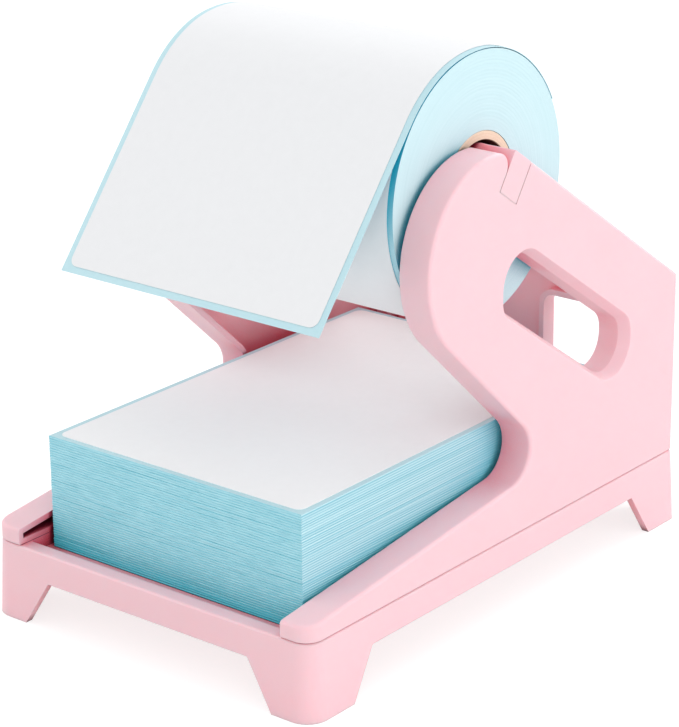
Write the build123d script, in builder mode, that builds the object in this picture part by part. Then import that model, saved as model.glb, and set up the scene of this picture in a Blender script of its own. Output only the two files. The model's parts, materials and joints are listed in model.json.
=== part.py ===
from build123d import *
from math import atan, cos, degrees, radians, sin, tan
import os

os.makedirs("parts", exist_ok=True)

# Millimetres, +Z up, +Y towards the back. The origin is on the ground, in the
# middle of the footprint. A pair (y, z) is a point seen from the right-hand side.

# Base tray, as wide and as long as the labels that it holds and the room round them
side_room = 2.2
front_room = 13.4
back_room = 26.0
base_corner = 6.2
back_corner = 1.5
inside_corner = 2.0
seam_height = 26.0
foot_flare = 1.5
apron_wall = 2.7
deck_thickness = 2.2
deck_edge = 0.6
well_depth = 4.3
well_front_rim = 5.2
well_back_rim = 9.9
well_corner = 1.2
tub_wall = 2.2
arch_height = 16.1
arch_corner = 0.8
front_foot_width = 15.8
front_foot_spread = 10.1
side_front_foot = 20.9
side_back_foot = 17.4
side_foot_spread = 10.2
floor_rib = 1.6
floor_rib_height = 2.8
floor_rib_pitch = 36.0
floor_rib_count = 5

# Side brackets
bracket_depth = 11.5
bracket_wall = 2.0
bracket_edge_radius = 1.2
seam_groove = 0.45
rail_front_height = 5.6
rail_slope = 6.4
notch_radius = 11.0
neck_slope = 43.0
nose_from_front = 92.0
nose_height = 124.1
nose_radius = 33.1
top_slope = 34.25

# Finger window in each bracket
window_behind_nose = 7.0
window_from_back = 30.8
window_below_edge = 24.8
window_height = 20.1
window_peak_radius = 9.8
window_sharp_radius = 7.6
window_low_radius = 10.0
window_blunt_radius = 5.0
window_lip_width = 3.9
window_lip_depth = 2.0
window_wall = 2.0

# Open slot for the shaft, square to the sloping top edge
slot_width = 10.8
slot_depth = 14.6
slot_before_tangent = 4.2
slot_lead_radius = 4.8
slot_back_radius = 1.0

# Rear panel between the brackets
panel_depth = 6.6
panel_top = 88.0
panel_wall = 2.0
panel_fit = 0.15
panel_edge_radius = 1.5
panel_side_post = 10.75
panel_window_bottom = 37.0
panel_head = 13.0
panel_window_corner = 4.0
panel_pillar = 31.4
ear_reach = 6.0
ear_thickness = 2.6
ear_height = 28.0
panel_ear_rise = 18.0

# Tabs and screws that hold brackets and panel on the deck
tab_length = 6.0
tab_thickness = 1.8
tab_reach = 2.0
tab_clearance = 0.1
front_tab_from_front = 16.0
back_tab_from_back = 81.9
panel_tab_from_side = 11.05
boss_radius = 3.3
boss_height = 4.4
front_screw_from_front = 60.0
back_screw_from_back = 31.9
screw_radius = 1.4
screw_length = 7.0
screw_hole_clearance = 0.1
screw_clearance_hole = 1.7
screw_head_radius = 2.6
screw_head_height = 1.8
screw_head_edge = 0.6

# Shaft
shaft_fit = 0.2
shaft_top_gap = 0.3
shoulder_thickness = 1.8
shoulder_side_gap = 0.3
shoulder_drop = 4.0
shoulder_back = 2.2
pocket_depth = 3.9
pocket_flange = 1.7
pocket_rib = 1.6
pocket_count = 7
shaft_edge_radius = 0.4

# Label roll
liner_width = 106.0
core_outer_radius = 18.5
core_inner_radius = 15.5
roll_outer_radius = 45.25
liner_thickness = 0.25
label_thickness = 0.15
core_fit = 0.05
paper_gap = 0.08
rest_gap = 0.55
strip_gap = 0.3
side_margin = 2.2
label_gap = 4.6
label_corner = 3.0
front_label_middle = 190

# Strip that hangs off the roll
strip_angle = 50.9
strip_length = 71.4
strip_end_margin = 2.3

# Fan-folded stack
fold_length = 160.5
stack_height = 39.1
fold_count = 26
fold_recess = 0.3

# Cuts run past the faces that they go through by this much
overrun = 1.0

base_length = front_room + fold_length + back_room
front = -base_length / 2
back = base_length / 2
inner_x = liner_width / 2 + side_room
outer_x = inner_x + bracket_depth
base_width = 2 * outer_x
middle_x = (inner_x + outer_x) / 2
floor_top = seam_height - well_depth
floor_bottom = floor_top - tub_wall
deck_bottom = seam_height - deck_thickness
label_length = fold_length - label_gap
label_width = liner_width - 2 * side_margin


def toward(point, angle, distance):
    """The (y, z) point that lies a distance from another, at an angle above +Y."""
    return (point[0] + distance * cos(radians(angle)), point[1] + distance * sin(radians(angle)))


def meeting(first, first_angle, second, second_angle):
    """The (y, z) point where two lines meet, each given by a point and its angle above +Y."""
    first_rise = tan(radians(first_angle))
    second_rise = tan(radians(second_angle))
    y = (second[1] - first[1] + first_rise * first[0] - second_rise * second[0]) / (first_rise - second_rise)
    return (y, first[1] + first_rise * (y - first[0]))


# Side view of a bracket: low rail, deep notch, leaning neck, round nose, long slope
nose = (front + nose_from_front, nose_height)
rail_front = (front, seam_height + rail_front_height)
neck_end = toward(nose, 270 - neck_slope, nose_radius)
nose_tip = toward(nose, 180, nose_radius)
slope_start = toward(nose, 90 - top_slope, nose_radius)
notch_corner = meeting(rail_front, rail_slope, neck_end, -neck_slope)
slope_end = (back, slope_start[1] - (back - slope_start[0]) * tan(radians(top_slope)))


def on_slope(along, below):
    """The (y, z) point at a distance along the sloping top edge and another below it."""
    return toward(toward(slope_start, -top_slope, along), 270 - top_slope, below)


# Places along the side rails, from the front
screw_places = (front_screw_from_front, base_length - back_screw_from_back)
bracket_tabs = (front_tab_from_front, base_length - back_tab_from_back)

# The slot's middle line, its floor and the shaft that lies on that floor
slot_floor = on_slope(-slot_before_tangent, slot_depth)
shaft_width = slot_width - 2 * shaft_fit
shaft_height = slot_depth - shaft_top_gap
shaft_middle = toward(slot_floor, 90 - top_slope, shaft_height / 2)
shaft_corner = toward(toward(slot_floor, 90 - top_slope, shaft_height), 180 - top_slope, shaft_width / 2)

# The core hangs on the shaft's upper front edge, so the roll's axis is straight below that edge
roll_axis = (shaft_corner[0], shaft_corner[1] + rest_gap - core_inner_radius)
wound_radius = roll_outer_radius - label_thickness - paper_gap - liner_thickness - strip_gap


def footprint(z, grow, back_radius):
    """The base's plan at a height, grown all round, with round front corners and much smaller back ones."""
    with BuildSketch(Plane.XY.offset(z), mode=Mode.PRIVATE) as plan:
        Rectangle(base_width + 2 * grow, base_length + 2 * grow)
        fillet(plan.vertices().group_by(Axis.Y)[0], radius=base_corner + grow)
        fillet(plan.vertices().group_by(Axis.Y)[-1], radius=back_radius)
    return plan.sketch


def screw_spots(z):
    """Places of the bracket screws, at one height."""
    return [Location((side * middle_x, front + y, z)) for side in (-1, 1) for y in screw_places]


def tab_spots(z):
    """Places of the bracket tabs, at one height."""
    return [Location((side * middle_x, front + y, z)) for side in (-1, 1) for y in bracket_tabs]


# The rear panel's tabs, which the deck has slots for
panel_tab_x = inner_x - panel_fit - panel_tab_from_side
panel_tab_y = back - panel_wall - tab_thickness / 2

# Base tray: a flared apron on four corner feet, a deck and a shallow well
flare_angle = degrees(atan(foot_flare / seam_height))
with BuildPart() as base_tray:
    extrude(footprint(0, foot_flare, back_corner + foot_flare), amount=seam_height, taper=flare_angle)
    chamfer(base_tray.edges().group_by(Axis.Z)[-1], length=deck_edge)
    inner_plan = footprint(0, foot_flare - apron_wall, inside_corner)
    extrude(inner_plan, amount=deck_bottom, taper=flare_angle, mode=Mode.SUBTRACT)
    well_length = base_length - well_front_rim - well_back_rim
    well_middle = (well_front_rim - well_back_rim) / 2
    with BuildSketch(Plane.XY.offset(floor_bottom)):
        with Locations((0, well_middle)):
            Rectangle(2 * (inner_x + tub_wall), well_length + 2 * tub_wall)
    extrude(amount=deck_bottom - floor_bottom)
    with BuildSketch(Plane.XY.offset(floor_top)):
        with Locations((0, well_middle)):
            RectangleRounded(2 * inner_x, well_length, well_corner)
    extrude(amount=well_depth + overrun, mode=Mode.SUBTRACT)
    with BuildSketch(Plane.XY.offset(floor_bottom - floor_rib_height)):
        with Locations((0, well_middle)):
            with GridLocations(0, floor_rib_pitch, 1, floor_rib_count):
                Rectangle(2 * (inner_x + tub_wall), floor_rib)
            Rectangle(floor_rib, well_length)
    extrude(amount=floor_rib_height)
    # Arches between the feet, cut right through, front to back and side to side
    front_arch_low = outer_x + foot_flare - front_foot_width
    with BuildSketch(Plane.XZ.offset(-back - foot_flare - overrun)):
        with BuildLine():
            FilletPolyline(
                (-front_arch_low, 0),
                (-front_arch_low + front_foot_spread, arch_height),
                (front_arch_low - front_foot_spread, arch_height),
                (front_arch_low, 0),
                radius=arch_corner,
            )
            Line((front_arch_low, 0), (-front_arch_low, 0))
        make_face()
    extrude(amount=base_length + 2 * foot_flare + 2 * overrun, mode=Mode.SUBTRACT)
    side_arch_front = front - foot_flare + side_front_foot
    side_arch_back = back + foot_flare - side_back_foot
    with BuildSketch(Plane.YZ.offset(-outer_x - foot_flare - overrun)):
        with BuildLine():
            FilletPolyline(
                (side_arch_front, 0),
                (side_arch_front + side_foot_spread, arch_height),
                (side_arch_back - side_foot_spread, arch_height),
                (side_arch_back, 0),
                radius=arch_corner,
            )
            Line((side_arch_back, 0), (side_arch_front, 0))
        make_face()
    extrude(amount=base_width + 2 * foot_flare + 2 * overrun, mode=Mode.SUBTRACT)
    with Locations(*screw_spots(seam_height)):
        Hole(screw_clearance_hole, depth=deck_thickness + overrun)
    with BuildSketch(Plane.XY.offset(seam_height)):
        with Locations(*tab_spots(0)):
            Rectangle(tab_thickness + 2 * tab_clearance, tab_length + 2 * tab_clearance)
        with Locations((-panel_tab_x, panel_tab_y), (panel_tab_x, panel_tab_y)):
            Rectangle(tab_length + 2 * tab_clearance, tab_thickness + 2 * tab_clearance)
    extrude(amount=-deck_thickness - overrun, mode=Mode.SUBTRACT)
base_tray.part.label = "base_tray"
export_step(base_tray.part, "parts/base_tray.step")

# The bracket's closed outline, then the same with the shaft slot let into it
with BuildSketch(Plane.YZ.offset(inner_x)) as body_outline:
    with BuildLine():
        Line((front, seam_height), rail_front)
        FilletPolyline(rail_front, notch_corner, neck_end, radius=notch_radius)
        ThreePointArc(neck_end, nose_tip, slope_start)
        Polyline(slope_start, slope_end, (back, seam_height), (front, seam_height))
    make_face()


def slot_shape(grow):
    """Corners of the slot as it is cut, or grown by a wall at both sides and below the floor."""
    floor = toward(slot_floor, 270 - top_slope, grow)
    left = toward(floor, 180 - top_slope, slot_width / 2 + grow)
    right = toward(floor, -top_slope, slot_width / 2 + grow)
    reach = slot_depth + grow + overrun
    return (left, toward(left, 90 - top_slope, reach), toward(right, 90 - top_slope, reach), right)


with BuildSketch(Plane.YZ.offset(inner_x)) as slotted_outline:
    add(body_outline.sketch_local)
    with BuildLine():
        Polyline(*slot_shape(0), close=True)
    make_face(mode=Mode.SUBTRACT)
    lead_spot = (*on_slope(-slot_before_tangent - slot_width / 2, 0), 0)
    back_spot = (*on_slope(-slot_before_tangent + slot_width / 2, 0), 0)
    fillet(slotted_outline.vertices().sort_by_distance(lead_spot)[0], radius=slot_lead_radius)
    fillet(slotted_outline.vertices().sort_by_distance(back_spot)[0], radius=slot_back_radius)

# Finger window: upright ends, long sides parallel to the sloping top edge
window_top_line = on_slope(0, window_below_edge)
window_low_line = on_slope(0, window_below_edge + window_height)
window_ends = [(nose[0] + window_behind_nose, 0), (back - window_from_back, 0)]
window_corners = [
    (end[0], line[1] - (end[0] - line[0]) * tan(radians(top_slope)))
    for end, line in (
        (window_ends[0], window_low_line),
        (window_ends[0], window_top_line),
        (window_ends[1], window_top_line),
        (window_ends[1], window_low_line),
    )
]
window_radii = (window_blunt_radius, window_peak_radius, window_sharp_radius, window_low_radius)
with BuildSketch(Plane.YZ.offset(inner_x)) as window:
    with BuildLine():
        FilletPolyline(*window_corners, radius=window_radii, close=True)
    make_face()

with BuildSketch(Plane.YZ.offset(inner_x)) as window_tube:
    add(window.sketch_local)
    offset(amount=window_wall, mode=Mode.REPLACE)

# Space inside the shell, which is open towards the middle of the holder
with BuildPart() as bracket_cavity:
    with BuildSketch(Plane.YZ.offset(inner_x)):
        add(body_outline.sketch_local)
        offset(amount=-bracket_wall, kind=Kind.INTERSECTION, mode=Mode.REPLACE)
        with BuildLine():
            Polyline(*slot_shape(bracket_wall), close=True)
        make_face(mode=Mode.SUBTRACT)
        add(window_tube.sketch_local, mode=Mode.SUBTRACT)
    extrude(amount=bracket_depth - bracket_wall)
    inner_plan = footprint(seam_height, -bracket_wall, inside_corner)
    extrude(inner_plan, amount=nose_height + nose_radius, mode=Mode.INTERSECT)

with BuildPart() as right_bracket:
    extrude(body_outline.sketch, amount=bracket_depth)
    extrude(footprint(seam_height, 0, back_corner), amount=nose_height + nose_radius, mode=Mode.INTERSECT)
    rim = right_bracket.faces().sort_by(Axis.X)[-1].outer_wire().edges()
    upper_rim = rim.filter_by(Axis.Z, reverse=True).filter_by(Axis.Y, reverse=True)
    fillet(upper_rim, radius=bracket_edge_radius)
    foot_rim = right_bracket.faces().sort_by(Axis.Z)[0].edges()
    chamfer(foot_rim - foot_rim.sort_by(Axis.X)[:1], length=seam_groove)
    extrude(slotted_outline.sketch, amount=bracket_depth, mode=Mode.INTERSECT)
    add(bracket_cavity.part, mode=Mode.SUBTRACT)
    extrude(window.sketch, amount=bracket_depth + overrun, mode=Mode.SUBTRACT)
    outer_face = right_bracket.faces().sort_by(Axis.X)[-1]
    window_rim = outer_face.inner_wires()[0].edges()
    chamfer(window_rim, length=window_lip_depth, length2=window_lip_width, reference=outer_face)
    with BuildSketch(Plane.XY.offset(seam_height + bracket_wall)):
        with Locations(*[(middle_x, front + y) for y in screw_places]):
            Circle(boss_radius)
    extrude(amount=boss_height)
    with BuildSketch(Plane.XY.offset(seam_height)):
        with Locations(*[(middle_x, front + y) for y in screw_places]):
            Circle(screw_radius + screw_hole_clearance)
    extrude(amount=screw_length, mode=Mode.SUBTRACT)
    with BuildSketch(Plane.XY.offset(seam_height - tab_reach)):
        with Locations(*[(middle_x, front + y) for y in bracket_tabs]):
            Rectangle(tab_thickness, tab_length)
    extrude(amount=tab_reach)
right_bracket.part.label = "right_bracket"
export_step(right_bracket.part, "parts/right_bracket.step")

with BuildPart() as left_bracket:
    mirror(right_bracket.part, about=Plane.YZ)
left_bracket.part.label = "left_bracket"
export_step(left_bracket.part, "parts/left_bracket.step")

# Rear panel: a shallow shell, open to the front, with two windows beside a middle pillar
panel_width = 2 * (inner_x - panel_fit)
panel_height = panel_top - seam_height
panel_window_width = (panel_width - panel_pillar) / 2 - panel_side_post
window_offset = (panel_pillar + panel_window_width) / 2
panel_window_top = panel_top - panel_head
window_rise = (panel_window_bottom + panel_window_top) / 2
panel_window_height = panel_window_top - panel_window_bottom
with BuildPart() as rear_panel:
    with BuildSketch(Plane.XZ.offset(-back)):
        with Locations((0, seam_height + panel_height / 2)):
            Rectangle(panel_width, panel_height)
    extrude(amount=panel_depth)
    fillet(rear_panel.edges().filter_by(Axis.X).group_by(Axis.Z)[-1], radius=panel_edge_radius)
    with BuildSketch(Plane.XZ.offset(-back + panel_wall)):
        with Locations((0, seam_height + panel_height / 2)):
            Rectangle(panel_width - 2 * panel_wall, panel_height - 2 * panel_wall)
        with Locations((-window_offset, window_rise), (window_offset, window_rise)):
            RectangleRounded(
                panel_window_width + 2 * panel_wall,
                panel_window_height + 2 * panel_wall,
                panel_window_corner + panel_wall,
                mode=Mode.SUBTRACT,
            )
    extrude(amount=panel_depth, mode=Mode.SUBTRACT)
    with BuildSketch(Plane.XZ.offset(-back)):
        with Locations((-window_offset, window_rise), (window_offset, window_rise)):
            RectangleRounded(panel_window_width, panel_window_height, panel_window_corner)
    extrude(amount=panel_depth, mode=Mode.SUBTRACT)
    # Ears that reach behind the open edges of the brackets, and tabs into the deck
    ear_span = panel_wall + panel_fit + ear_reach
    ear_y = back - bracket_wall - panel_fit - ear_thickness / 2
    for side in (-1, 1):
        with BuildSketch(Plane.XY.offset(seam_height + panel_ear_rise)):
            with Locations((side * (inner_x + ear_reach - ear_span / 2), ear_y)):
                Rectangle(ear_span, ear_thickness)
        extrude(amount=ear_height)
        with BuildSketch(Plane.XY.offset(seam_height - tab_reach)):
            with Locations((side * panel_tab_x, panel_tab_y)):
                Rectangle(tab_length, tab_thickness)
        extrude(amount=tab_reach)
rear_panel.part.label = "rear_panel"
export_step(rear_panel.part, "parts/rear_panel.step")

# Self-tapping screws, driven up through the deck into the bracket bosses
with BuildPart() as base_screws:
    with BuildSketch(Plane.XY.offset(deck_bottom - screw_head_height)):
        with Locations(*screw_spots(0)):
            Circle(screw_head_radius)
    extrude(amount=screw_head_height)
    chamfer(base_screws.edges().group_by(Axis.Z)[0], length=screw_head_edge)
    with BuildSketch(Plane.XY.offset(deck_bottom)):
        with Locations(*screw_spots(0)):
            Circle(screw_radius)
    extrude(amount=screw_length)
base_screws.part.label = "base_screws"
export_step(base_screws.part, "parts/base_screws.step")

# Shaft: a bar as wide as the slots, cored out between cross ribs, with two end shoulders
shaft_face = Plane(
    origin=(0, *shaft_middle),
    x_dir=(1, 0, 0),
    z_dir=(0, -cos(radians(top_slope)), sin(radians(top_slope))),
)
shoulder_x = inner_x - shoulder_side_gap
pocket_span = 2 * (shoulder_x - shoulder_thickness) - pocket_rib
pocket_pitch = pocket_span / pocket_count
with BuildPart() as roll_shaft:
    with BuildSketch(shaft_face.offset(-shaft_width / 2)):
        Rectangle(base_width, shaft_height)
    extrude(amount=shaft_width)
    fillet(roll_shaft.edges().filter_by(Axis.X), radius=shaft_edge_radius)
    for side in (-1, 1):
        with BuildSketch(shaft_face.offset(-shaft_width / 2 - shoulder_back)):
            with Locations((side * (shoulder_x - shoulder_thickness / 2), -shoulder_drop / 2)):
                Rectangle(shoulder_thickness, shaft_height + shoulder_drop)
        extrude(amount=shaft_width + shoulder_back)
    for face_side in (-1, 1):
        with BuildSketch(shaft_face.offset(face_side * shaft_width / 2)):
            with GridLocations(pocket_pitch, 0, pocket_count, 1):
                Rectangle(pocket_pitch - pocket_rib, shaft_height - 2 * pocket_flange)
        extrude(amount=-face_side * pocket_depth, mode=Mode.SUBTRACT)
roll_shaft.part.label = "roll_shaft"
export_step(roll_shaft.part, "parts/roll_shaft.step")


def tube_of(outer_radius, inner_radius, width):
    """A ring about the roll's axis, centred on the middle plane."""
    with BuildPart(Plane.YZ.offset(-width / 2), mode=Mode.PRIVATE) as ring:
        with Locations(roll_axis):
            Cylinder(outer_radius, width, align=(Align.CENTER, Align.CENTER, Align.MIN))
            Cylinder(inner_radius, width, align=(Align.CENTER, Align.CENTER, Align.MIN), mode=Mode.SUBTRACT)
    return ring.part


with BuildPart() as roll_core:
    add(tube_of(core_outer_radius, core_inner_radius, liner_width))
roll_core.part.label = "roll_core"
export_step(roll_core.part, "parts/roll_core.step")

with BuildPart() as label_roll:
    add(tube_of(wound_radius - label_thickness - paper_gap, core_outer_radius + core_fit, liner_width))
label_roll.part.label = "label_roll"
export_step(label_roll.part, "parts/label_roll.step")


def curved_paper(inner_radius, thickness, width, first_angle, last_angle, tail=0):
    """Paper wrapped round the roll's axis between two angles, with a straight tail off the last one."""
    outer_radius = inner_radius + thickness
    middle_angle = (first_angle + last_angle) / 2
    inner_turn = toward(roll_axis, last_angle, inner_radius)
    outer_turn = toward(roll_axis, last_angle, outer_radius)
    inner_tip = toward(inner_turn, last_angle + 90, tail)
    outer_tip = toward(outer_turn, last_angle + 90, tail)
    inner_start = toward(roll_axis, first_angle, inner_radius)
    outer_start = toward(roll_axis, first_angle, outer_radius)
    with BuildPart(mode=Mode.PRIVATE) as paper:
        with BuildSketch(Plane.YZ.offset(-width / 2)):
            with BuildLine():
                ThreePointArc(inner_start, toward(roll_axis, middle_angle, inner_radius), inner_turn)
                if tail:
                    Polyline(inner_turn, inner_tip, outer_tip, outer_turn)
                else:
                    Line(inner_turn, outer_turn)
                ThreePointArc(outer_turn, toward(roll_axis, middle_angle, outer_radius), outer_start)
                Line(outer_start, inner_start)
            make_face()
        extrude(amount=width)
    return paper.part


def round_corners(paper):
    """Rounds the four corners of a label, which are its only edges as short as its thickness."""
    return fillet(paper.edges().filter_by(lambda edge: edge.length < 2 * label_thickness), radius=label_corner)


# Two labels show on the wound roll, with bare liner between them
half_gap = degrees(label_gap / 2 / wound_radius)
front_label_first = front_label_middle - degrees(label_length / 2 / wound_radius)
front_label_last = front_label_middle + degrees(label_length / 2 / wound_radius)
wound_spans = {
    "front_wound_label": (front_label_first, front_label_last),
    "back_wound_label": (front_label_last + 2 * half_gap, front_label_first - 2 * half_gap + 360),
}
for name, (first_angle, last_angle) in wound_spans.items():
    with BuildPart() as wound_label:
        add(curved_paper(wound_radius - label_thickness, label_thickness, label_width, first_angle, last_angle))
    wound_label.part.label = name
    export_step(wound_label.part, f"parts/{name}.step")

# Strip paid out over the top of the roll, with one label on it
leave_angle = 90 + strip_angle
strip_radius = wound_radius + strip_gap
label_radius = strip_radius + liner_thickness + paper_gap
label_tail = strip_length - strip_end_margin
strip_first = leave_angle - degrees((label_length + label_gap / 2 - label_tail) / label_radius)
label_first = leave_angle - degrees((label_length - label_tail) / label_radius)
with BuildPart() as hanging_liner:
    add(curved_paper(strip_radius, liner_thickness, liner_width, strip_first, leave_angle, strip_length))
hanging_liner.part.label = "hanging_liner"
export_step(hanging_liner.part, "parts/hanging_liner.step")

with BuildPart() as hanging_label:
    add(curved_paper(label_radius, label_thickness, label_width, label_first, leave_angle, label_tail))
    round_corners(hanging_label)
hanging_label.part.label = "hanging_label"
export_step(hanging_label.part, "parts/hanging_label.step")

# Fan-folded stack: its front and back ends are rows of folds
stack_front = front + front_room
stack_back = stack_front + fold_length
fold_pitch = stack_height / fold_count
front_folds = []
back_folds = []
for fold in range(fold_count):
    low = floor_top + fold * fold_pitch
    front_folds += [(stack_front + fold_recess, low), (stack_front, low + fold_pitch / 2)]
    back_folds += [(stack_back - fold_recess, low), (stack_back, low + fold_pitch / 2)]
stack_top = floor_top + stack_height
with BuildPart() as fanfold_stack:
    with BuildSketch(Plane.YZ.offset(-liner_width / 2)):
        with BuildLine():
            Polyline(
                *front_folds,
                (stack_front + fold_recess, stack_top),
                (stack_back - fold_recess, stack_top),
                *reversed(back_folds),
                close=True,
            )
        make_face()
    extrude(amount=liner_width)
fanfold_stack.part.label = "fanfold_stack"
export_step(fanfold_stack.part, "parts/fanfold_stack.step")

with BuildPart() as stack_top_label:
    with BuildSketch(Plane.XY.offset(stack_top)):
        with Locations((0, (stack_front + stack_back) / 2)):
            RectangleRounded(label_width, label_length, label_corner)
    extrude(amount=label_thickness)
stack_top_label.part.label = "stack_top_label"
export_step(stack_top_label.part, "parts/stack_top_label.step")
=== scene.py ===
import json
import math

import bpy
import numpy as np
from mathutils import Matrix, Vector


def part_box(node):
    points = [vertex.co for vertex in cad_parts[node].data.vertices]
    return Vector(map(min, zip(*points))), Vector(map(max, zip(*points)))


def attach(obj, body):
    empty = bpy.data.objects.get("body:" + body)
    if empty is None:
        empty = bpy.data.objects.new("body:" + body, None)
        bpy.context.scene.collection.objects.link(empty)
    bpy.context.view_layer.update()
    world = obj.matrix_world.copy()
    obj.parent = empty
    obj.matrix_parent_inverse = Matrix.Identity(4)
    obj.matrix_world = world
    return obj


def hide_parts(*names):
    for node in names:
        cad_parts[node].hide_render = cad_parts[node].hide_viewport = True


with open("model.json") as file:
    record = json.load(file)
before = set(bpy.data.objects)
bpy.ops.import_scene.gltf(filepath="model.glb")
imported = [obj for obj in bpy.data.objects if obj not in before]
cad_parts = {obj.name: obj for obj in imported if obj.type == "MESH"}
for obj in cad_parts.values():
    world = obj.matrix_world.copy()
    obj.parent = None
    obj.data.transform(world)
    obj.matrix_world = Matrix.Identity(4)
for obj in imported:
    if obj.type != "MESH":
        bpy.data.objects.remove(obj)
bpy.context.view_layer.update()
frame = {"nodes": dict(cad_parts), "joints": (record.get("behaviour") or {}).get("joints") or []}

# Sizes are in millimetres and angles in degrees. The frame and Blender have metres.
mm = 0.001

# Liner and labels
liner_width = 106.0
liner_thickness = 0.25
label_width = 101.6
label_length = 155.9
label_gap = 4.6
label_corner = 3.0
label_thickness = 0.15
paper_gap = 0.08

# Strip that hangs off the roll: it rests on it up to the touch angle and stands clear past the lift span
strip_gap = 0.3
strip_rest_gap = 0.04
strip_touch_angle = 92.0
strip_lift_span = 22.0
strip_leave_angle = 140.9
strip_length = 71.4
strip_end_margin = 2.3

# Wound roll
roll_outer_radius = 45.25
wound_radius = roll_outer_radius - label_thickness - paper_gap - liner_thickness - strip_gap
winding_pitch = 1.1
winding_step = 0.03
front_label_middle = 190.0

# Core
core_outer_radius = 18.5
core_inner_radius = 15.5
core_fit = 0.05
core_edge = 0.25
core_seam_pitch = 38.0
core_seam_depth = 0.18
core_seam_reach = 0.35

# Fan-folded stack, with fewer and thicker folds than the real one, so that they show
fold_count = 46
fold_bulge = 0.2
layer_step = 0.1
sheet_groove = 0.12
stack_seed = 7

# Pan head screws
head_radius = 2.6
head_height = 1.8
shank_radius = 1.4
tip_length = 1.2
thread_pitch = 1.3
cross_depth = 1.1
cross_arm = 0.32
cross_reach = 1.5

# Seam between the tray and what stands on it, and the hairline of shade just above it
seam_height = 26.0
seam_shade_full = 0.16
seam_shade_end = 0.26

roll_axis = Vector(next(j for j in frame["joints"] if j["name"] == "roll_spin")["pos_m"])
axis_y, axis_z = roll_axis[1] / mm, roll_axis[2] / mm
stack_low, stack_high = (np.array(corner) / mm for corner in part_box("fanfold_stack"))
fold_pitch = (stack_high[2] - stack_low[2]) / fold_count


# Colours and nodes


def linear(code):
    """A colour written as an sRGB hex code, as linear red, green, blue and a full alpha."""
    parts = [int(code[i:i + 2], 16) / 255 for i in (1, 3, 5)]
    return tuple(p / 12.92 if p <= 0.04045 else ((p + 0.055) / 1.055) ** 2.4 for p in parts) + (1.0,)


def per_mm(size):
    """The texture scale, in repeats per metre, that makes one feature as large as this size in mm."""
    return 1 / (size * mm)


def add_node(tree, kind, settings=None, links=None):
    """Adds a shader node. Settings name its attributes or sockets, links name the sockets that others feed.

    A number stands for a socket where several have one name, as the two colours of a Mix do, 6 and 7.
    """
    node = tree.nodes.new("ShaderNode" + kind)
    for key, value in (settings or {}).items():
        if isinstance(key, int) or key in node.inputs:
            node.inputs[key].default_value = value
        else:
            setattr(node, key, value)
    for key, source in (links or {}).items():
        tree.links.new(source, node.inputs[key])
    return node


def new_material(name):
    """A material with an empty node tree."""
    made = bpy.data.materials.new(name)
    made.use_nodes = True
    made.node_tree.nodes.clear()
    return made, made.node_tree


def painted_recess_shade(tree, tint, deep, start, end, reach):
    """Paints shade into a colour where little open space is in reach, as in recesses and gaps.

    The share of open space, within this reach in mm, runs from start, where the colour is as given, to end,
    where it is all deep.
    """
    space = add_node(tree, "AmbientOcclusion", {"samples": 8, "Distance": reach * mm})
    share = add_node(tree, "MapRange", {"From Min": start, "From Max": end}, {"Value": space.outputs["AO"]})
    return add_node(
        tree, "Mix", {"data_type": "RGBA", 7: linear(deep)}, {0: share.outputs[0], 6: tint.outputs[2]}
    )


def radius_from_axis(tree, place):
    """The distance of a place from the roll's axis, which runs along X."""
    spot = add_node(tree, "SeparateXYZ", links={0: place})
    off_y = add_node(tree, "Math", {"operation": "SUBTRACT", 1: axis_y * mm}, {0: spot.outputs[1]})
    off_z = add_node(tree, "Math", {"operation": "SUBTRACT", 1: axis_z * mm}, {0: spot.outputs[2]})
    arm = add_node(tree, "CombineXYZ", links={"Y": off_y.outputs[0], "Z": off_z.outputs[0]})
    return add_node(tree, "VectorMath", {"operation": "LENGTH"}, {0: arm.outputs[0]}).outputs["Value"]


def background_rays(tree):
    """1 for the rays that show the background, straight, in a gloss or through glass, and 0 for the rest."""
    ray = add_node(tree, "LightPath").outputs
    limited_sum = {"operation": "ADD", "use_clamp": True}
    with_gloss = add_node(tree, "Math", limited_sum, {0: ray["Is Camera Ray"], 1: ray["Is Glossy Ray"]})
    links = {0: with_gloss.outputs[0], 1: ray["Is Transmission Ray"]}
    return add_node(tree, "Math", limited_sum, links).outputs[0]


# Finishes


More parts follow.
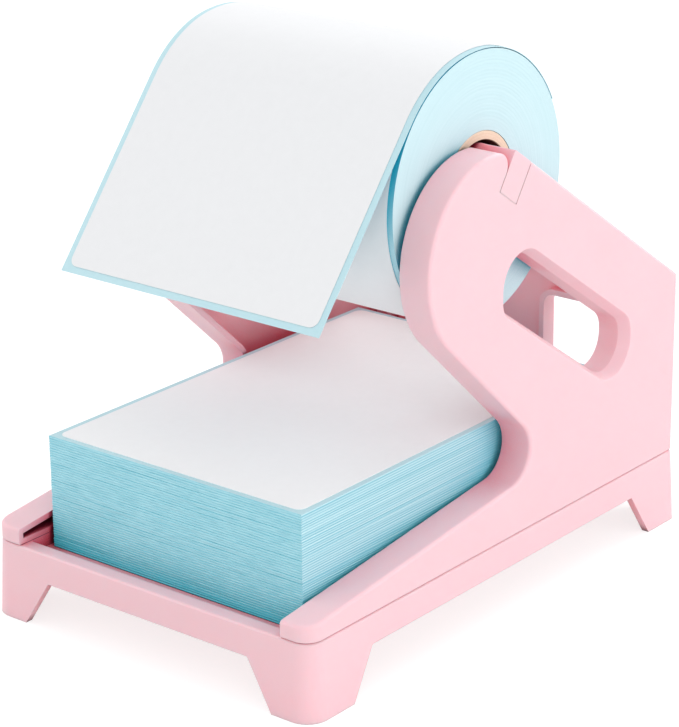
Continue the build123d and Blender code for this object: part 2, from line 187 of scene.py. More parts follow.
def moulded_abs(name, seam_shade):
    """ABS, injection moulded in a spark-eroded tool: satin, with soft edges and a very fine even grain.

    Shade is painted into its colour in its recesses, a crimson that turns to a dark rose in narrow gaps, and
    less so low down, where the white floor lights it. Just above the seam on the tray it darkens in a
    hairline, by the share seam_shade of the way to a shaded pink. The real grain is too fine to show, so it
    is drawn at
    0.6 mm.
    """
    made, tree = new_material(name)
    place = add_node(tree, "TexCoord").outputs["Object"]
    height = add_node(tree, "SeparateXYZ", links={0: place}).outputs[2]
    cloud = add_node(tree, "TexNoise", {"Scale": per_mm(22), "Detail": 2.0}, {"Vector": place})
    pale = add_node(
        tree,
        "Mix",
        {"data_type": "RGBA", 6: linear("#F4C7CE"), 7: linear("#F4CBD2")},
        {0: cloud.outputs[0]},
    )
    # Painted shade: a crimson where little open space is in reach.
    painted_crimson_shade = painted_recess_shade(tree, pale, "#FF3458", start=0.66, end=0.14, reach=30.0)
    # The painted shade fades low down, where the white floor lights the parts.
    off_floor = add_node(
        tree, "MapRange", {"From Min": 4.0 * mm, "From Max": 24.0 * mm, "To Min": 0.15}, {"Value": height}
    )
    tint = add_node(
        tree,
        "Mix",
        {"data_type": "RGBA"},
        {0: off_floor.outputs[0], 6: pale.outputs[2], 7: painted_crimson_shade.outputs[2]},
    )
    # Painted shade: a dark rose in narrow gaps and grooves.
    tint = painted_recess_shade(tree, tint, "#5A1628", start=0.46, end=0.2, reach=8.0)
    at_seam = add_node(
        tree,
        "MapRange",
        {
            "From Min": (seam_height + seam_shade_end) * mm,
            "From Max": (seam_height + seam_shade_full) * mm,
            "To Max": seam_shade,
        },
        {"Value": height},
    )
    tint = add_node(
        tree,
        "Mix",
        {"data_type": "RGBA", 7: linear("#8A3048")},
        {0: at_seam.outputs[0], 6: tint.outputs[2]},
    )
    grain = add_node(
        tree, "TexNoise", {"Scale": per_mm(0.6), "Detail": 3.0, "Roughness": 0.6}, {"Vector": place}
    )
    gloss = add_node(tree, "MapRange", {"To Min": 0.36, "To Max": 0.46}, {"Value": grain.outputs[0]})
    soft_edge = add_node(tree, "Bevel", {"samples": 4, "Radius": 0.45 * mm})
    relief = add_node(
        tree,
        "Bump",
        {"Strength": 0.12, "Distance": 0.04 * mm},
        {"Height": grain.outputs[0], "Normal": soft_edge.outputs[0]},
    )
    surface = add_node(
        tree,
        "BsdfPrincipled",
        {
            "IOR": 1.53,
            "Specular IOR Level": 0.3,
            "Subsurface Weight": 0.4,
            "Subsurface Radius": (1.0, 0.35, 0.42),
            "Subsurface Scale": 4.0 * mm,
        },
        {"Base Color": tint.outputs[2], "Roughness": gloss.outputs[0], "Normal": relief.outputs[0]},
    )
    add_node(tree, "OutputMaterial", links={"Surface": surface.outputs[0]})
    return made


def coated_label(name, dark, light, sheen):
    """Thermal label paper, coated and calendered: bright white and nearly matt, with faint fibre clouds.

    The sheen is the level of its gloss, matched to the photograph for each label. The real fibres are too
    fine to show, so they are drawn at 0.35 mm.
    """
    made, tree = new_material(name)
    place = add_node(tree, "TexCoord").outputs["Object"]
    cloud = add_node(
        tree, "TexNoise", {"Scale": per_mm(3.0), "Detail": 4.0, "Roughness": 0.6}, {"Vector": place}
    )
    tint = add_node(
        tree, "Mix", {"data_type": "RGBA", 6: linear(dark), 7: linear(light)}, {0: cloud.outputs[0]}
    )
    fibre = add_node(tree, "TexNoise", {"Scale": per_mm(0.35), "Detail": 3.0}, {"Vector": place})
    relief = add_node(tree, "Bump", {"Strength": 0.1, "Distance": 0.02 * mm}, {"Height": fibre.outputs[0]})
    gloss = add_node(tree, "MapRange", {"To Min": 0.52, "To Max": 0.62}, {"Value": cloud.outputs[0]})
    surface = add_node(
        tree,
        "BsdfPrincipled",
        {"IOR": 1.5, "Specular IOR Level": sheen},
        {"Base Color": tint.outputs[2], "Roughness": gloss.outputs[0], "Normal": relief.outputs[0]},
    )
    add_node(tree, "OutputMaterial", links={"Surface": surface.outputs[0]})
    return made


def glassine_liner(name, start, end):
    """Glassine release liner, dyed pale blue and supercalendered: smooth, with a cloudy fibre formation.

    Shade is painted into it, a teal that deepens from start to end, the shares of open space round it.
    """
    made, tree = new_material(name)
    place = add_node(tree, "TexCoord").outputs["Object"]
    cloud = add_node(
        tree, "TexNoise", {"Scale": per_mm(1.8), "Detail": 4.0, "Roughness": 0.6}, {"Vector": place}
    )
    tint = add_node(
        tree,
        "Mix",
        {"data_type": "RGBA", 6: linear("#B4DAE3"), 7: linear("#C0E1E9")},
        {0: cloud.outputs[0]},
    )
    # Painted shade: teal where little open space is round the liner.
    tint = painted_recess_shade(tree, tint, "#12AECB", start, end, reach=25.0)
    relief = add_node(tree, "Bump", {"Strength": 0.08, "Distance": 0.02 * mm}, {"Height": cloud.outputs[0]})
    gloss = add_node(tree, "MapRange", {"To Min": 0.34, "To Max": 0.44}, {"Value": cloud.outputs[0]})
    surface = add_node(
        tree,
        "BsdfPrincipled",
        {"IOR": 1.5},
        {"Base Color": tint.outputs[2], "Roughness": gloss.outputs[0], "Normal": relief.outputs[0]},
    )
    add_node(tree, "OutputMaterial", links={"Surface": surface.outputs[0]})
    return made


def wound_edges():
    """Slit edges of liner and labels wound in one roll: pale blue with faint rings about the roll's axis.

    Single layers are too thin to show, so the rings are drawn at 0.9 mm, in bands of 7 mm.
    """
    made, tree = new_material("wound_paper_edges")
    radius = radius_from_axis(tree, add_node(tree, "TexCoord").outputs["Object"])
    rings = add_node(
        tree,
        "TexNoise",
        {"noise_dimensions": "1D", "Scale": per_mm(0.9), "Detail": 3.0, "Roughness": 0.65},
        {"W": radius},
    )
    bands = add_node(
        tree, "TexNoise", {"noise_dimensions": "1D", "Scale": per_mm(7.0), "Detail": 1.0}, {"W": radius}
    )
    both = add_node(
        tree, "Math", {"operation": "MULTIPLY_ADD", 1: 0.5}, {0: bands.outputs[0], 2: rings.outputs[0]}
    )
    spread = add_node(tree, "MapRange", {"From Min": 0.5, "From Max": 1.0}, {"Value": both.outputs[0]})
    tint = add_node(
        tree,
        "Mix",
        {"data_type": "RGBA", 6: linear("#C4E2E8"), 7: linear("#CAE6EC")},
        {0: spread.outputs[0]},
    )
    # Painted shade: teal where little open space is round the edges, and a dark teal contact shadow right
    # beside the bracket.
    tint = painted_recess_shade(tree, tint, "#22B8D8", start=0.62, end=0.2, reach=30.0)
    tint = painted_recess_shade(tree, tint, "#06566A", start=0.68, end=0.45, reach=1.6)
    relief = add_node(tree, "Bump", {"Strength": 0.05, "Distance": 0.08 * mm}, {"Height": rings.outputs[0]})
    surface = add_node(
        tree,
        "BsdfPrincipled",
        {"IOR": 1.48, "Roughness": 0.62, "Specular IOR Level": 0.3},
        {"Base Color": tint.outputs[2], "Normal": relief.outputs[0]},
    )
    add_node(tree, "OutputMaterial", links={"Surface": surface.outputs[0]})
    return made


def layered_edges(name, dark, light, deep, wave, run, thick, evenness, touch):
    """Edges of folded paper in layers: lines this thick, which waver by wave and run on for run, all in mm.

    Single sheets are too thin to show, so the lines are drawn thicker. Evenness is the share of a regular
    line at each fold in the irregular lines. Shade is painted in where the paper lies deep in the well, as a
    more saturated teal, and as a dark teal contact shadow where something else comes near it. For that,
    touch holds the reach, start and end of the painted contact shadow.
    """
    made, tree = new_material(name)
    place = add_node(tree, "TexCoord").outputs["Object"]
    bend = add_node(tree, "TexNoise", {"Scale": per_mm(9), "Detail": 2.0}, {"Vector": place})
    spot = add_node(tree, "SeparateXYZ", links={0: place})
    lifted = add_node(
        tree, "Math", {"operation": "MULTIPLY_ADD", 1: wave * mm}, {0: bend.outputs[0], 2: spot.outputs[2]}
    )
    moved = add_node(
        tree, "CombineXYZ", links={"X": spot.outputs[0], "Y": spot.outputs[1], "Z": lifted.outputs[0]}
    )
    stretched = add_node(
        tree, "Mapping", {"Scale": (per_mm(run), per_mm(run), per_mm(thick))}, {"Vector": moved.outputs[0]}
    )
    lines = add_node(
        tree, "TexNoise", {"Scale": 1.0, "Detail": 3.0, "Roughness": 0.7}, {"Vector": stretched.outputs[0]}
    )
    turns = add_node(
        tree, "Math", {"operation": "MULTIPLY", 1: 2 * math.pi * per_mm(fold_pitch)}, {0: lifted.outputs[0]}
    )
    swing = add_node(tree, "Math", {"operation": "SINE"}, {0: turns.outputs[0]})
    mixed = add_node(
        tree, "Math", {"operation": "MULTIPLY_ADD", 1: evenness}, {0: swing.outputs[0], 2: lines.outputs[0]}
    )
    spread = add_node(tree, "MapRange", {"From Min": 0.28, "From Max": 0.72}, {"Value": mixed.outputs[0]})
    tint = add_node(
        tree, "Mix", {"data_type": "RGBA", 6: linear(dark), 7: linear(light)}, {0: spread.outputs[0]}
    )
    # Painted shade: a saturated teal deep in the well, then a dark teal contact shadow.
    tint = painted_recess_shade(tree, tint, deep, start=0.7, end=0.24, reach=30.0)
    tint = painted_recess_shade(tree, tint, "#004A5C", **touch)
    relief = add_node(tree, "Bump", {"Strength": 0.3, "Distance": 0.1 * mm}, {"Height": lines.outputs[0]})
    surface = add_node(
        tree,
        "BsdfPrincipled",
        {"IOR": 1.48, "Roughness": 0.6, "Specular IOR Level": 0.3},
        {"Base Color": tint.outputs[2], "Normal": relief.outputs[0]},
    )
    add_node(tree, "OutputMaterial", links={"Surface": surface.outputs[0]})
    return made


def core_board():
    """Kraft board wound in a spiral: buff and matt, with short fibres and the plies showing at the cut ends.

    The plies are drawn at 0.4 mm. The real fibres are too fine to show, so they are drawn at 0.5 mm.
    """
    made, tree = new_material("spiral_wound_board")
    place = add_node(tree, "TexCoord").outputs["Object"]
    plies = add_node(
        tree,
        "TexNoise",
        {"noise_dimensions": "1D", "Scale": per_mm(0.4), "Detail": 2.0},
        {"W": radius_from_axis(tree, place)},
    )
    fibres = add_node(
        tree, "TexNoise", {"Scale": per_mm(0.5), "Detail": 4.0, "Roughness": 0.7}, {"Vector": place}
    )
    both = add_node(
        tree, "Math", {"operation": "MULTIPLY_ADD", 1: 0.6}, {0: plies.outputs[0], 2: fibres.outputs[0]}
    )
    spread = add_node(tree, "MapRange", {"From Min": 0.55, "From Max": 1.05}, {"Value": both.outputs[0]})
    tint = add_node(
        tree,
        "Mix",
        {"data_type": "RGBA", 6: linear("#E2C9B0"), 7: linear("#EEDAC6")},
        {0: spread.outputs[0]},
    )
    # Painted shade: dark brown where little open space is in reach, as in the bore.
    tint = painted_recess_shade(tree, tint, "#3A0F08", start=0.55, end=0.2, reach=40.0)
    relief = add_node(tree, "Bump", {"Strength": 0.3, "Distance": 0.06 * mm}, {"Height": fibres.outputs[0]})
    surface = add_node(
        tree,
        "BsdfPrincipled",
        {"IOR": 1.47, "Roughness": 0.85, "Specular IOR Level": 0.25},
        {"Base Color": tint.outputs[2], "Normal": relief.outputs[0]},
    )
    add_node(tree, "OutputMaterial", links={"Surface": surface.outputs[0]})
    return made


def zinc_steel():
    """Zinc-plated steel, tumbled bright: a pale metal with small cloudy marks."""
    made, tree = new_material("zinc_plated_steel")
    place = add_node(tree, "TexCoord").outputs["Object"]
    cloud = add_node(tree, "TexNoise", {"Scale": per_mm(1.2), "Detail": 4.0}, {"Vector": place})
    tint = add_node(
        tree,
        "Mix",
        {"data_type": "RGBA", 6: linear("#B9BCC2"), 7: linear("#D2D4D8")},
        {0: cloud.outputs[0]},
    )
    gloss = add_node(tree, "MapRange", {"To Min": 0.24, "To Max": 0.42}, {"Value": cloud.outputs[0]})
    surface = add_node(
        tree,
        "BsdfPrincipled",
        {"Metallic": 1.0},
        {"Base Color": tint.outputs[2], "Roughness": gloss.outputs[0]},
    )
    add_node(tree, "OutputMaterial", links={"Surface": surface.outputs[0]})
    return made


def paper_floor():
    """A matt white floor that looks white wherever no shadow falls on it."""
    made, tree = new_material("matt_white_floor")
    plain = add_node(tree, "BsdfDiffuse", {"Color": linear("#F4F4F4")})
    glow = add_node(tree, "Emission", {"Color": linear("#FFFFFF"), "Strength": 0.78})
    shaded = add_node(tree, "BsdfDiffuse", {"Color": linear("#A0A0A0")})
    lifted = add_node(tree, "AddShader", links={0: glow.outputs[0], 1: shaded.outputs[0]})
    links = {0: background_rays(tree), 1: plain.outputs[0], 2: lifted.outputs[0]}
    both = add_node(tree, "MixShader", links=links)
    add_node(tree, "OutputMaterial", links={"Surface": both.outputs[0]})
    return made


# Shapes


def skin(rows, columns, close_rows=False):
    """Quads between the rows of a grid of points. Each row is closed on itself.

    The last row is joined to the first one where close_rows is set.
    """
    row = np.arange(rows if close_rows else rows - 1)[:, None]
    column = np.arange(columns)[None, :]
    next_row = (row + 1) % rows
    next_column = (column + 1) % columns
    corners = (
        row * columns + column,
        row * columns + next_column,
        next_row * columns + next_column,
        next_row * columns + column,
    )
    return np.stack(corners, -1).reshape(-1, 4)


def add_piece(name, points, faces, materials, body, stands_for, face_material=None, sharp=32):
    """Makes a closed piece of points in mm. Its faces are turned round when the volume in them is negative.

    The volume, of which only the sign counts, is the sum of what the first two triangles of each face span
    with the origin. Edges sharper than this angle in degrees stay hard.
    """
    first = points[[face[0] for face in faces]]
    volume = 0.0
    for corner in range(1, 3):
        second = points[[face[corner] for face in faces]]
        third = points[[face[min(corner + 1, len(face) - 1)] for face in faces]]
        volume += np.einsum("ij,ij->", first, np.cross(second, third))
    if volume < 0:
        faces = [face[::-1] for face in faces]
    mesh = bpy.data.meshes.new(name)
    mesh.from_pydata((points * mm).tolist(), [], faces)
    if face_material is not None:
        mesh.polygons.foreach_set("material_index", face_material)
    mesh.shade_smooth()
    mesh.set_sharp_from_angle(angle=math.radians(sharp))
    mesh.update()
    for material in materials:
        mesh.materials.append(material)
    piece = bpy.data.objects.new(name, mesh)
    bpy.context.scene.collection.objects.link(piece)
    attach(piece, body)
    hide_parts(*stands_for)


def about_axis(radius, angle):
    """y and z of a point at a radius from the roll's axis, at an angle above +Y in degrees."""
    turn = np.radians(angle)
    return axis_y + radius * np.cos(turn), axis_z + radius * np.sin(turn)


def paper_path(radius, first_angle, last_angle, tail, slack=0):
    """A sheet's way round the roll: an arc about the axis between two angles, then a straight tail off it.

    Gives a function of the length s along the way, in mm, which returns the y and z of the point there and of
    the normal away from the axis, and gives the way's whole length. The arc lies lower by the slack until the
    touch angle, and comes up to its full radius by t * t * (3 - 2 t), where t is the share of the lift span
    that is passed.
    """
    arc_length = math.radians(last_angle - first_angle) * radius

    def place(s):
        on_arc = np.minimum(s, arc_length)
        angle = first_angle + np.degrees(on_arc / radius)
        t = np.clip((angle - strip_touch_angle) / strip_lift_span, 0, 1)
        y, z = about_axis(radius - slack * (1 - t * t * (3 - 2 * t)), angle)
        turn = np.radians(angle)
        beyond = s - on_arc
        y = y - np.sin(turn) * beyond
        z = z + np.cos(turn) * beyond
        return y, z, np.cos(turn), np.sin(turn)

    return place, arc_length + tail


def stack_top(s):
    """The straight way along the top of the stack, from the front end of its label to the back."""
    label_start = (stack_low[1] + stack_high[1] - label_length) / 2
    return label_start + s, np.full_like(s, stack_high[2]), np.zeros_like(s), np.ones_like(s)


def paper_sheet(place, length, width, thickness, corner):
    """A thin closed sheet that follows a way in the y-z plane, with its four corners rounded.

    A point at length s and share u of the half-width lies at x = u * half(s). half(s) is half the width, less
    what a round corner of the given radius takes off near both ends. The upper skin is the lower one moved
    along the normal by the thickness.
    """
    corner_rows, middle_rows, strips = 9, 140, 12
    near_end = np.zeros(1)
    if corner:
        near_end = corner * (1 - np.cos(np.linspace(0, math.pi / 2, corner_rows)))
    middle = np.linspace(near_end[-1], length - near_end[-1], middle_rows)
    s = np.concatenate((near_end[:-1], middle, length - near_end[:-1][::-1]))
    inset = np.clip(corner - np.minimum(s, length - s), 0, None)
    half = width / 2 - corner + np.sqrt(np.clip(corner**2 - inset**2, 0, None))
    y, z, normal_y, normal_z = place(s)
    x = half[:, None] * np.linspace(-1, 1, strips + 1)[None, :]
    lower = np.stack((x, y[:, None] + 0 * x, z[:, None] + 0 * x), -1)
    lift = np.stack((np.zeros_like(y), normal_y, normal_z), -1)[:, None, :] * thickness
    ring = np.concatenate((lower + lift, lower[:, ::-1]), 1)
    rows, columns = ring.shape[:2]
    faces = skin(rows, columns).tolist()
    last = (rows - 1) * columns
    for j in range(strips):
        faces.append([j + 1, j, columns - 1 - j, columns - 2 - j])
        faces.append([last + j, last + j + 1, last + columns - 2 - j, last + columns - 1 - j])
    return ring.reshape(-1, 3), faces


def wound_body(inner, outer):
    """The wound roll: a ring about the axis whose ends step in and out along a spiral. Its rim is kind 1.

    At radius r and angle a, an end lies at half the width, less the winding's step times
    (1 - cos(2 pi (r / pitch - a / 2 pi))) / 2, less a swell of the whole face that is a sum of two waves,
    depth * (1 - cos(r * rate)).
    """
    around, rings = 192, 130
    broad_depth, broad_rate = 0.02, 0.55
    fine_depth, fine_rate = 0.01, 1.31
    angles = np.linspace(0, 360, around, endpoint=False)
    radii = np.linspace(inner, outer, rings)
    turns = radii[:, None] / winding_pitch - angles[None, :] / 360
    swell = broad_depth * (1 - np.cos(radii * broad_rate)) + fine_depth * (1 - np.cos(radii * fine_rate))
    dip = winding_step * (1 - np.cos(2 * math.pi * turns)) / 2 + swell[:, None]
    dip[[0, -1]] = dip[[0, -1]].mean(1, keepdims=True)
    end = liner_width / 2 - dip
    y, z = about_axis(radii[:, None], angles[None, :])
    right = np.stack((end, y, z), -1)
    left = np.stack((-end, y, z), -1)[::-1]
    ring = np.concatenate((right, left))
    rows, columns = ring.shape[:2]
    kinds = np.repeat(np.arange(rows) == rings - 1, columns).astype(int)
    return ring.reshape(-1, 3), skin(rows, columns, close_rows=True).tolist(), kinds


def core_tube():
    """The core: a tube with soft end edges, plies that show at its ends and a spiral seam in its bore.

    The plies are grooves in the ends, depth * (1 - cos(2 pi r / pitch)) / 2 deep, where r is the distance
    from the first one. In the bore the radius grows by the seam's depth * exp(-(d / reach)^2), where d is the
    distance in mm along the axis to the nearest turn of the seam, which moves on by its pitch each turn.
    """
    ply_depth, ply_pitch, ply_rings = 0.05, 0.7, 9
    around, bore_rings = 128, 95
    half = liner_width / 2
    soft = half - core_edge
    angles = np.linspace(0, 360, around, endpoint=False)
    plies = np.linspace(core_inner_radius + core_edge, core_outer_radius - core_edge, ply_rings)
    groove = ply_depth * (1 - np.cos(2 * math.pi * (plies - plies[0]) / ply_pitch)) / 2
    bore_x = np.linspace(soft, -soft, bore_rings + 1)[::-1][:-1]
    profile_x = np.concatenate(([soft], half - groove, [soft], [-soft], (groove - half)[::-1], bore_x))
    profile_r = np.concatenate(
        (
            [core_inner_radius],
            plies,
            [core_outer_radius, core_outer_radius],
            plies[::-1],
            np.full(bore_rings, core_inner_radius),
        )
    )
    steps = (profile_x[:, None] / core_seam_pitch - angles[None, :] / 360) % 1.0
    distance = np.minimum(steps, 1 - steps) * core_seam_pitch
    on_bore = profile_r[:, None] < core_inner_radius + core_edge / 2
    in_bore = on_bore & (np.abs(profile_x[:, None]) < half - 2 * core_edge)
    seam = core_seam_depth * np.exp(-((distance / core_seam_reach) ** 2))
    y, z = about_axis(profile_r[:, None] + np.where(in_bore, seam, 0), angles[None, :])
    ring = np.stack((np.repeat(profile_x[:, None], around, 1), y, z), -1)
    rows, columns = ring.shape[:2]
    return ring.reshape(-1, 3), skin(rows, columns, close_rows=True).tolist()


def layered_stack(low, high):
    """The fan-folded stack between two corners of its box. Its cut sides are kind 0, folds 1 and skins 2.

    A point on the outline is (u, v), both between -1 and 1. At height h in a fold, which is 0 to 1, the fold
    ends stand back by the bulge * (1 - sin(pi h)^power), plus a step of each fold's own and a slow wave along
    the width. The cut sides stand back by a step of each sheet's own, of which a fold has two, and by a
    groove between sheets.
    """
    rng = np.random.default_rng(stack_seed)
    samples, across, along = 6, 72, 24
    fold_power = 0.6
    least_wave, most_wave = 0.01, 0.06
    least_count, most_count = 0.7, 2.6
    rows = fold_count * samples + 1
    height = np.arange(rows) / samples
    fold = np.minimum(height.astype(int), fold_count - 1)
    share = height - fold
    sheet = np.minimum((height * 2).astype(int), 2 * fold_count - 1)
    side_u = np.linspace(-1, 1, across + 1)[:-1]
    side_v = np.linspace(-1, 1, along + 1)[:-1]
    u = np.concatenate((side_u, np.ones(along), -side_u, -np.ones(along)))
    v = np.concatenate((-np.ones(across), side_v, np.ones(across), -side_v))
    end_step = rng.uniform(0, layer_step, (fold_count, 2))
    wave_size = rng.uniform(least_wave, most_wave, (fold_count, 2, 1))
    wave_turn = rng.uniform(0, 2 * math.pi, (fold_count, 2, 1))
    wave_count = rng.uniform(least_count, most_count, (fold_count, 2, 1))
    sheet_step = rng.uniform(0, layer_step, (2 * fold_count, 2))
    roundness = fold_bulge * (1 - np.sin(math.pi * np.clip(share, 0, 1)) ** fold_power)
    wave = wave_size * (1 + np.sin(wave_turn + wave_count * math.pi * u[None, None, :]))
    at_back = (v > 0).astype(int)
    end_back = roundness[:, None] + end_step[fold][:, at_back] + wave[fold][:, at_back, np.arange(len(u))]
    at_right = (u > 0).astype(int)
    groove = np.abs((height * 2) % 1.0 - 0.5) * sheet_groove
    side_back = sheet_step[sheet][:, at_right] + groove[:, None]
    centre = (low + high) / 2
    half = (high - low) / 2
    x = centre[0] + u[None, :] * (half[0] - side_back)
    y = centre[1] + v[None, :] * (half[1] - end_back)
    z = low[2] + (high[2] - low[2]) * height[:, None] / fold_count + 0 * x
    columns = len(u)
    at_fold = np.isclose(np.abs(v + np.roll(v, -1)), 2)
    kinds = np.append(np.tile(at_fold.astype(int), rows - 1), (2, 2))
    bottom = list(range(columns))
    top = [(rows - 1) * columns + j for j in range(columns)][::-1]
    return np.stack((x, y, z), -1).reshape(-1, 3), skin(rows, columns).tolist() + [bottom, top], kinds


def pan_head_screw(x, y, low, tip):
    """A pan head screw that points up: a polar grid from the head's middle over its rim and up to the tip.

    The head's lower face rises by a fourth power of the radius. A cross recess is cut in it, as deep as its
    depth * exp(-(q / arm)^4), where q is the distance from the nearer arm of the cross, out to its reach. The
    thread is a wave on the shank's radius that turns once in each pitch. Shares are of the shank's radius,
    but the rim's is of the head's height.
    """
    around, head_rings, shank_rings, cone_rings = 48, 26, 40, 6
    rim_share, neck_share, root_share, ridge_share, point_share = 0.55, 0.8, 0.74, 0.26, 0.02
    middle_radius, neck_length, recess_end = 0.02, 0.6, 0.3
    head_high = low + head_height
    shoulder = tip - tip_length
    angles = np.linspace(0, 2 * math.pi, around, endpoint=False)
    radii = np.linspace(middle_radius, head_radius, head_rings)
    flat = np.stack((radii[:, None] * np.cos(angles), radii[:, None] * np.sin(angles)), -1)
    arm = np.abs(flat).min(-1)
    to_end = np.clip((cross_reach - radii[:, None]) / recess_end, 0, 1)
    recess = cross_depth * np.exp(-((arm / cross_arm) ** 4)) * to_end
    crown = head_height * rim_share * (radii[:, None] / head_radius) ** 4
    head = np.concatenate((flat, (low + crown + recess)[..., None]), -1)
    heights = np.linspace(head_high, shoulder, shank_rings)
    turn = heights[:, None] / thread_pitch - angles[None, :] / (2 * math.pi)
    ridge = root_share + ridge_share * np.clip(np.cos(2 * math.pi * turn), 0, 1) ** 2
    share = np.where(heights[:, None] > head_high + neck_length, ridge, neck_share)
    cone_share = np.linspace(root_share, point_share, cone_rings)[1:, None] + np.zeros((1, around))
    cone_heights = np.linspace(shoulder, tip, cone_rings)[1:]
    rim = np.full((1, around), head_radius)
    radius = np.concatenate((rim, share * shank_radius, cone_share * shank_radius))
    level = np.concatenate(([head_high], heights, cone_heights))[:, None] + np.zeros((1, around))
    shank = np.stack((radius * np.cos(angles), radius * np.sin(angles), level), -1)
    ring = np.concatenate((head, shank)) + np.array((x, y, 0))
    last = (len(ring) - 1) * around
    faces = skin(len(ring), around).tolist()
    faces += [list(range(around)), [last + j for j in range(around)][::-1]]
    return ring.reshape(-1, 3), faces


# The materials, and which moulded part has which

abs_pink = moulded_abs("moulded_abs_pink", 0.0)
seamed_pink = moulded_abs("moulded_abs_pink_at_seam", 0.8)
roll_label = coated_label("coated_label_paper_of_roll", "#EAEBED", "#EEEFF1", 0.06)
# The same paper on the stack is painted lighter, to make up for the shade of the roll and strip above it.
stack_label = coated_label("coated_label_paper_of_stack_painted_lighter", "#F5F5F6", "#F9F9FA", 0.4)
# The liner on the roll's rim, under the strip, is a copy with more painted shade.
liner_blue = glassine_liner("glassine_liner_blue", 0.45, 0.1)
shaded_liner = glassine_liner("glassine_liner_painted_shaded_under_strip", 0.9, 0.45)
roll_edges = wound_edges()
cut_edges = layered_edges(
    "slit_paper_edges",
    "#7DBFD0",
    "#C9E9EF",
    "#58D0E6",
    wave=0.0,
    run=120,
    thick=0.3,
    evenness=0.18,
    touch={"reach": 1.2, "start": 0.8, "end": 0.45},
)
fold_ends = layered_edges(
    "folded_paper_ends",
    "#8CCDDC",
    "#B6E7F1",
    "#2FDEF0",
    wave=0.5,
    run=5,
    thick=0.3,
    evenness=0.13,
    touch={"reach": 3.0, "start": 0.6, "end": 0.3},
)
board = core_board()
steel = zinc_steel()

for name, material in (
    ("base_tray", abs_pink),
    ("right_bracket", seamed_pink),
    ("left_bracket", seamed_pink),
    ("rear_panel", seamed_pink),
    ("roll_shaft", abs_pink),
):
    frame["nodes"][name].data.materials.clear()
    frame["nodes"][name].data.materials.append(material)

# The roll, its core and its outer labels

points, faces, kinds = wound_body(core_outer_radius + core_fit, wound_radius - label_thickness - paper_gap)
roll_finishes = [roll_edges, shaded_liner]
add_piece("wound_roll", points, faces, roll_finishes, "roll", ["label_roll"], kinds, sharp=60)

points, faces = core_tube()
add_piece("board_core", points, faces, [board], "roll", ["roll_core"], sharp=40)

half_gap = math.degrees(label_gap / 2 / wound_radius)
half_label = math.degrees(label_length / 2 / wound_radius)
label_spans = {
    "front_wound_label": (front_label_middle - half_label, front_label_middle + half_label),
    "back_wound_label": (
        front_label_middle + half_label + 2 * half_gap,
        front_label_middle - half_label - 2 * half_gap + 360,
    ),
}
for node, (first_angle, last_angle) in label_spans.items():
    place, length = paper_path(wound_radius - label_thickness, first_angle, last_angle, 0)
    points, faces = paper_sheet(place, length, label_width, label_thickness, label_corner)
    add_piece(node + "_paper", points, faces, [roll_label], "roll", [node])

# The strip that is paid out, and its label

strip_radius = wound_radius + strip_gap
label_radius = strip_radius + liner_thickness + paper_gap
label_tail = strip_length - strip_end_margin
label_arc = label_length - label_tail
strip_first = strip_leave_angle - math.degrees((label_arc + label_gap / 2) / label_radius)
label_first = strip_leave_angle - math.degrees(label_arc / label_radius)
strip_slack = strip_gap - strip_rest_gap
place, length = paper_path(strip_radius, strip_first, strip_leave_angle, strip_length, strip_slack)
points, faces = paper_sheet(place, length, liner_width, liner_thickness, 0)
add_piece("paid_out_liner", points, faces, [liner_blue], "shaft", ["hanging_liner"])
place, length = paper_path(label_radius, label_first, strip_leave_angle, label_tail, strip_slack)
points, faces = paper_sheet(place, length, label_width, label_thickness, label_corner)
add_piece("paid_out_label", points, faces, [roll_label], "shaft", ["hanging_label"])

# The stack and its top label

points, faces, kinds = layered_stack(stack_low, stack_high)
stack_finishes = [cut_edges, fold_ends, liner_blue]
add_piece("folded_stack", points, faces, stack_finishes, "stack", ["fanfold_stack"], kinds)
points, faces = paper_sheet(stack_top, label_length, label_width, label_thickness, label_corner)
add_piece("stack_label", points, faces, [stack_label], "stack", ["stack_top_label"])

# The four screws, in the corners of their box

screw_low, screw_high = (np.array(corner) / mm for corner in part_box("base_screws"))
screw_points = []
screw_faces = []
for x in (screw_low[0] + head_radius, screw_high[0] - head_radius):
    for y in (screw_low[1] + head_radius, screw_high[1] - head_radius):
        points, faces = pan_head_screw(x, y, screw_low[2], screw_high[2])
        start = sum(len(p) for p in screw_points)
        screw_points.append(points)
        screw_faces += [[start + index for index in face] for face in faces]
screw_points = np.concatenate(screw_points)
add_piece("pan_head_screws", screw_points, screw_faces, [steel], "holder", ["base_screws"])

# Floor, light and camera

# The floor's reach each way, in metres
floor_reach = 4
floor_corners = [(x * floor_reach, y * floor_reach, 0) for x, y in ((-1, -1), (1, -1), (1, 1), (-1, 1))]
floor_mesh = bpy.data.meshes.new("floor")
floor_mesh.from_pydata(floor_corners, [], [(0, 1, 2, 3)])
floor_mesh.materials.append(paper_floor())
floor = bpy.data.objects.new("floor", floor_mesh)
bpy.context.scene.collection.objects.link(floor)

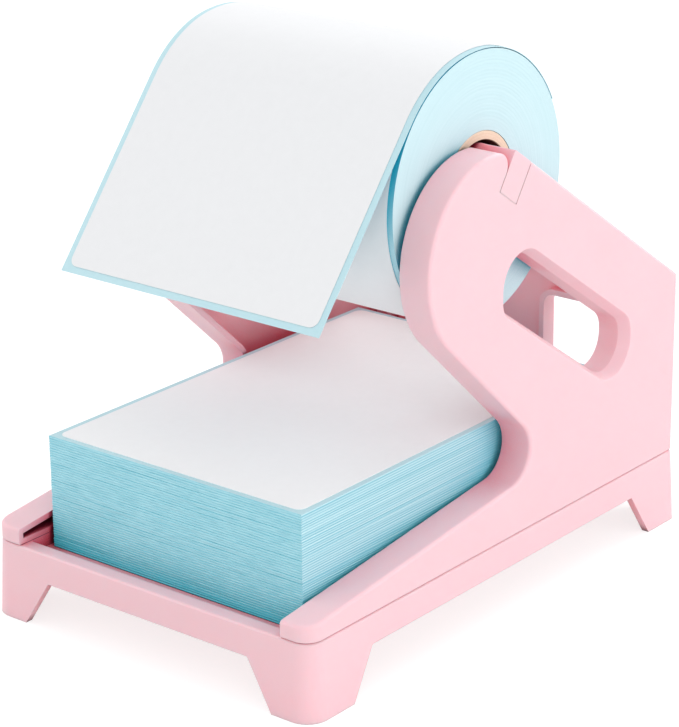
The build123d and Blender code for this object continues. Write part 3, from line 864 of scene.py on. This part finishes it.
world = bpy.data.worlds.new("studio")
bpy.context.scene.world = world
world.use_nodes = True
studio = world.node_tree
studio.nodes.clear()
room = add_node(studio, "Background", {"Color": linear("#FFFFFF"), "Strength": 0.66})
white = add_node(studio, "Background", {"Color": linear("#FFFFFF"), "Strength": 1.0})
links = {0: background_rays(studio), 1: room.outputs[0], 2: white.outputs[0]}
both = add_node(studio, "MixShader", links=links)
add_node(studio, "OutputWorld", links={"Surface": both.outputs[0]})

# Square lamps that face the object, each with its place in metres and its power in watts
lamp_size = 1.2
lamp_aim = Vector((0, 0, 0.08))
for name, place, power in (
    ("back", (0.2, 1.8, 1.45), 18.5),
    ("left", (-1.8, -0.2, 1.0), 8.5),
    ("right", (1.9, 0.3, 0.75), 10.0),
    ("high", (1.0, -0.3, 1.95), 2.5),
    ("front", (1.2, -1.3, 0.95), 6.0),
    ("near left", (-1.1, -1.1, 1.4), 3.5),
):
    light = bpy.data.lights.new(name, "AREA")
    light.size = lamp_size
    light.energy = power
    lamp = bpy.data.objects.new(name, light)
    lamp.location = place
    lamp.rotation_euler = (lamp_aim - Vector(place)).to_track_quat("-Z", "Y").to_euler()
    bpy.context.scene.collection.objects.link(lamp)

# The camera stands where the photograph's did, and leans by a small roll about its own axis
camera_place = Vector((531.38, -655.26, 382.26)) * mm
camera_aim = Vector((-0.08, -2.38, 72.83)) * mm
camera_roll = math.radians(-0.598)
back = (camera_place - camera_aim).normalized()
level = Vector((0, 0, 1)).cross(back).normalized()
upright = back.cross(level)
right = level * math.cos(camera_roll) + upright * math.sin(camera_roll)
up = upright * math.cos(camera_roll) - level * math.sin(camera_roll)
camera_data = bpy.data.cameras.new("camera")
camera_data.sensor_fit = "VERTICAL"
camera_data.sensor_height = 36.0
camera_data.lens = 133.66
camera_data.clip_start = 0.05
camera_data.clip_end = 50.0
camera = bpy.data.objects.new("camera", camera_data)
camera.matrix_world = Matrix.Translation(camera_place) @ Matrix((right, up, back)).transposed().to_4x4()
bpy.context.scene.collection.objects.link(camera)
bpy.context.scene.camera = camera
bpy.context.scene.view_settings.view_transform = "Standard"
